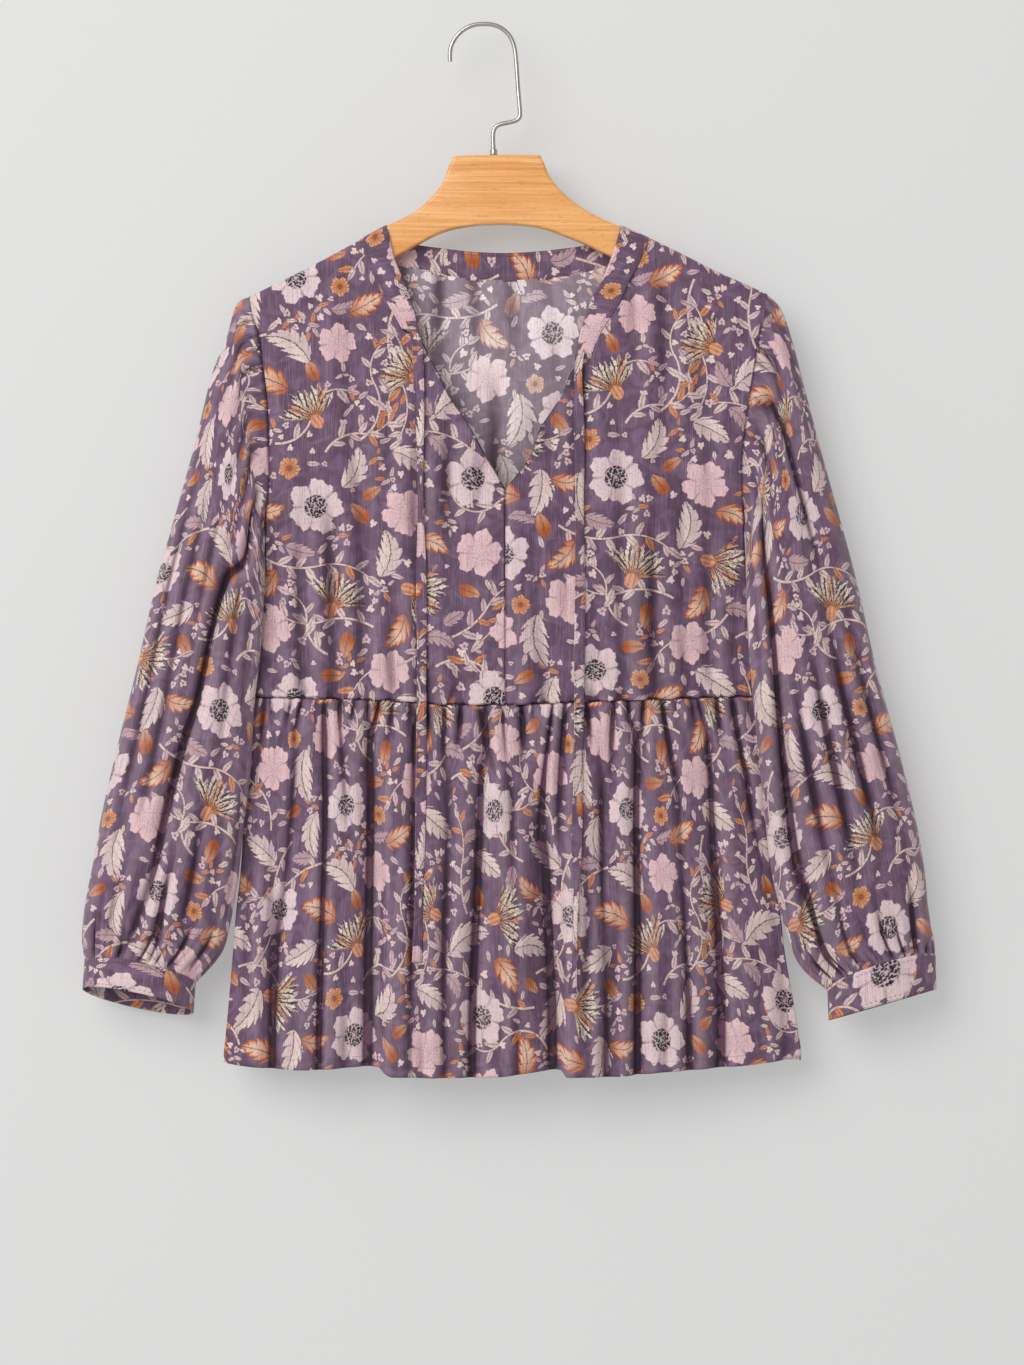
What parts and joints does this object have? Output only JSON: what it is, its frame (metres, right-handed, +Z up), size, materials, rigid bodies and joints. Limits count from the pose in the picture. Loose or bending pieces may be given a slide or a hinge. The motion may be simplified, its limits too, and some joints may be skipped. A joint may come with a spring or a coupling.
{
  "type": "tie-neck blouse on a clothes hanger",
  "caption": "Hip-length tie-neck blouse with long full sleeves and a gathered lower panel, in flower-printed chiffon, hanging flat on a wooden clothes hanger.",
  "frame": {"origin": "the inner top of the hanger's hook, where it bears on the rail or peg that holds it", "axes": "+Z up, -Y out of the blouse's front towards someone looking at it, +X to that person's right"},
  "size_m": [0.6853, 0.0552, 0.8428],
  "materials": {
    "print_cloth": "crinkled chiffon, muted purple with a pale and orange flower print",
    "hanger_wood": "clear satin varnish on pale honey wood",
    "hook_steel": "nickel-plated wire, satin"
  },
  "bodies": {
    "root": {"front_left": "print_cloth", "front_right": "print_cloth", "back": "print_cloth", "peplum_front": "print_cloth", "peplum_back": "print_cloth", "sleeve_left": "print_cloth", "sleeve_right": "print_cloth", "cuff_left": "print_cloth", "cuff_right": "print_cloth", "neckband": "print_cloth", "tie_left": "print_cloth", "tie_right": "print_cloth", "hanger_body": "hanger_wood", "hanger_hook": "hook_steel", "hanger_ferrule": "hook_steel"}
  },
  "joints": []
}
